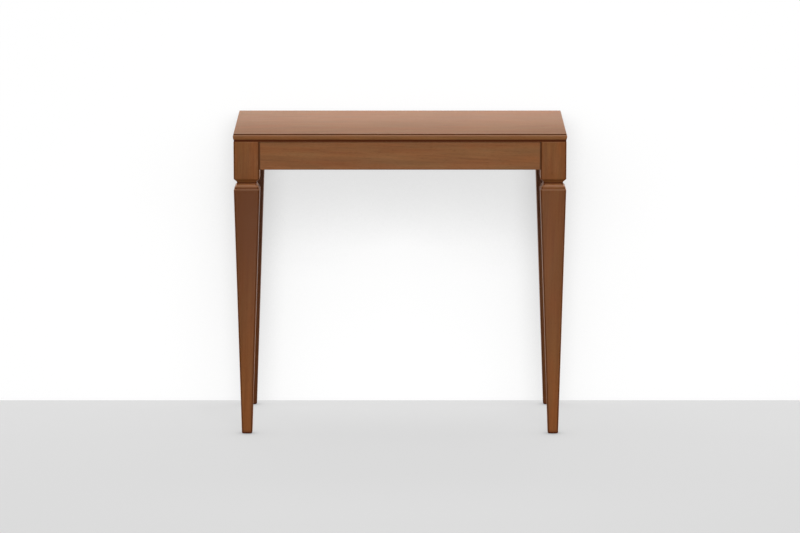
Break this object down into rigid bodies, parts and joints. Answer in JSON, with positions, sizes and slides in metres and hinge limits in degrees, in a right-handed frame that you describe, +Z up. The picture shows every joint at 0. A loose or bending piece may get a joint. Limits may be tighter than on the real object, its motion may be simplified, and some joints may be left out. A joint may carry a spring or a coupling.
{
  "type": "extending console table",
  "caption": "Narrow console table whose front half draws forward on telescopic aluminium rails to take loose leaves, on necked, square tapered legs.",
  "frame": {"origin": "on the floor, under the centre of the closed table", "axes": "+Z up, +X along the width to the right as seen from the front, -Y towards the user, the way the front frame draws out"},
  "size_m": [0.85, 0.42, 0.785],
  "materials": {
    "top_wood": "satin walnut-stained veneer with moulded edge",
    "leg_wood": "satin walnut-stained solid wood",
    "apron_wood": "satin walnut-stained veneer",
    "raw_beech": "planed, unfinished",
    "rail_aluminium": "extruded, natural anodised",
    "slide_nylon": "moulded nylon",
    "zinc_steel": "zinc plated",
    "glide_plastic": "moulded",
    "grip_plastic": "moulded"
  },
  "bodies": {
    "rear_frame": {"rear_top": "top_wood", "rear_leg_left": "leg_wood", "rear_leg_right": "leg_wood", "rear_apron": "apron_wood", "rear_side_apron_left": "apron_wood", "rear_side_apron_right": "apron_wood", "rear_top_cleats": "raw_beech", "rear_corner_bracket_left": "zinc_steel", "rear_corner_bracket_right": "zinc_steel", "rear_leg_bolts": "zinc_steel", "rear_bracket_screws": "zinc_steel", "rear_cleat_screws": "zinc_steel", "rear_foot_glides": "glide_plastic", "rear_rail_angles": "zinc_steel", "rear_latch_pivots": "zinc_steel", "rail_left_1": "rail_aluminium", "rail_right_1": "rail_aluminium", "slide_nylons_1": "slide_nylon"},
    "front_frame": {"front_top": "top_wood", "front_leg_left": "leg_wood", "front_leg_right": "leg_wood", "front_apron": "apron_wood", "front_side_apron_left": "apron_wood", "front_side_apron_right": "apron_wood", "front_top_cleats": "raw_beech", "front_corner_bracket_left": "zinc_steel", "front_corner_bracket_right": "zinc_steel", "front_leg_bolts": "zinc_steel", "front_bracket_screws": "zinc_steel", "front_cleat_screws": "zinc_steel", "front_foot_glides": "glide_plastic", "front_rail_angles": "zinc_steel", "front_latch_studs": "zinc_steel", "alignment_pins": "raw_beech", "rail_left_7": "rail_aluminium", "rail_right_7": "rail_aluminium", "slide_nylons_7": "slide_nylon"},
    "rail_stage_2": {"rail_left_2": "rail_aluminium", "rail_right_2": "rail_aluminium", "slide_nylons_2": "slide_nylon"},
    "rail_stage_3": {"rail_left_3": "rail_aluminium", "rail_right_3": "rail_aluminium", "slide_nylons_3": "slide_nylon"},
    "rail_stage_4": {"rail_left_4": "rail_aluminium", "rail_right_4": "rail_aluminium", "slide_nylons_4": "slide_nylon"},
    "rail_stage_5": {"rail_left_5": "rail_aluminium", "rail_right_5": "rail_aluminium", "slide_nylons_5": "slide_nylon"},
    "rail_stage_6": {"rail_left_6": "rail_aluminium", "rail_right_6": "rail_aluminium", "slide_nylons_6": "slide_nylon"},
    "latch_left": {"latch_lever_left": "zinc_steel", "latch_grip_left": "grip_plastic"},
    "latch_right": {"latch_lever_right": "zinc_steel", "latch_grip_right": "grip_plastic"}
  },
  "joints": [
    {"name": "front_slide", "type": "slide", "parent": "rear_frame", "child": "front_frame", "axis": [0, -1, 0], "range_m": [0, 1.5]},
    {"name": "rail_stage_2_slide", "type": "slide", "parent": "rear_frame", "child": "rail_stage_2", "axis": [0, -1, 0], "range_m": [0, 0.25]},
    {"name": "rail_stage_3_slide", "type": "slide", "parent": "rear_frame", "child": "rail_stage_3", "axis": [0, -1, 0], "range_m": [0, 0.5]},
    {"name": "rail_stage_4_slide", "type": "slide", "parent": "rear_frame", "child": "rail_stage_4", "axis": [0, -1, 0], "range_m": [0, 0.75]},
    {"name": "rail_stage_5_slide", "type": "slide", "parent": "rear_frame", "child": "rail_stage_5", "axis": [0, -1, 0], "range_m": [0, 1]},
    {"name": "rail_stage_6_slide", "type": "slide", "parent": "rear_frame", "child": "rail_stage_6", "axis": [0, -1, 0], "range_m": [0, 1.25]},
    {"name": "latch_left_swing", "type": "hinge", "parent": "rear_frame", "child": "latch_left", "pos_m": [-0.3378, 0.024, 0.7602], "axis": [0, 0, -1], "range_deg": [0, 60]},
    {"name": "latch_right_swing", "type": "hinge", "parent": "rear_frame", "child": "latch_right", "pos_m": [0.3378, 0.024, 0.7602], "axis": [0, 0, 1], "range_deg": [0, 60]}
  ],
  "couplings": [
    {"joint": "rail_stage_2_slide", "follows": "front_slide", "ratio": 0.16667},
    {"joint": "rail_stage_3_slide", "follows": "front_slide", "ratio": 0.33333},
    {"joint": "rail_stage_4_slide", "follows": "front_slide", "ratio": 0.5},
    {"joint": "rail_stage_5_slide", "follows": "front_slide", "ratio": 0.66667},
    {"joint": "rail_stage_6_slide", "follows": "front_slide", "ratio": 0.83333}
  ]
}
